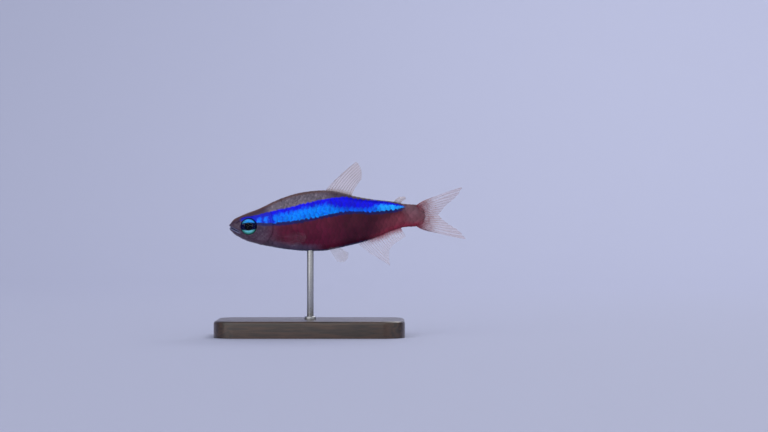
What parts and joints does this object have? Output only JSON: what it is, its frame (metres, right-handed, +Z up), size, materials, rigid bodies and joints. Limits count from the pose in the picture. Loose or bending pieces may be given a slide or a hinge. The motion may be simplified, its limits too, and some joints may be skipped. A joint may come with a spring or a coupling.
{
  "type": "cardinal tetra",
  "caption": "Life-size model of a small red and blue characin fish, swimming level with its fins spread, held over a flat base by one short rod.",
  "frame": {"origin": "centre of the underside of the stand's base, straight below the rod", "axes": "+X towards the fish's tail, its head points along -X; +Y towards the fish's right side; +Z up"},
  "size_m": [0.0449, 0.018, 0.0313],
  "materials": {
    "skin": "wet, scaly skin: wine red flank, deep blue to azure stripe, grey-violet back",
    "eye": "clear gloss over a black pupil and a blue to teal iris",
    "fin": "clear membrane between fine rays, faintly red at the roots of the anal and tail fins",
    "rod": "brushed",
    "base": "dark stain, satin varnish"
  },
  "bodies": {
    "root": {"head": "skin", "torso": "skin", "tail_stalk": "skin", "eye_left": "eye", "eye_right": "eye", "dorsal_fin": "fin", "adipose_fin": "fin", "caudal_fin_upper": "fin", "caudal_fin_lower": "fin", "anal_fin": "fin", "pectoral_fin_left": "fin", "pectoral_fin_right": "fin", "pelvic_fin_left": "fin", "pelvic_fin_right": "fin", "stand_rod": "rod", "stand_base": "base"}
  },
  "joints": []
}
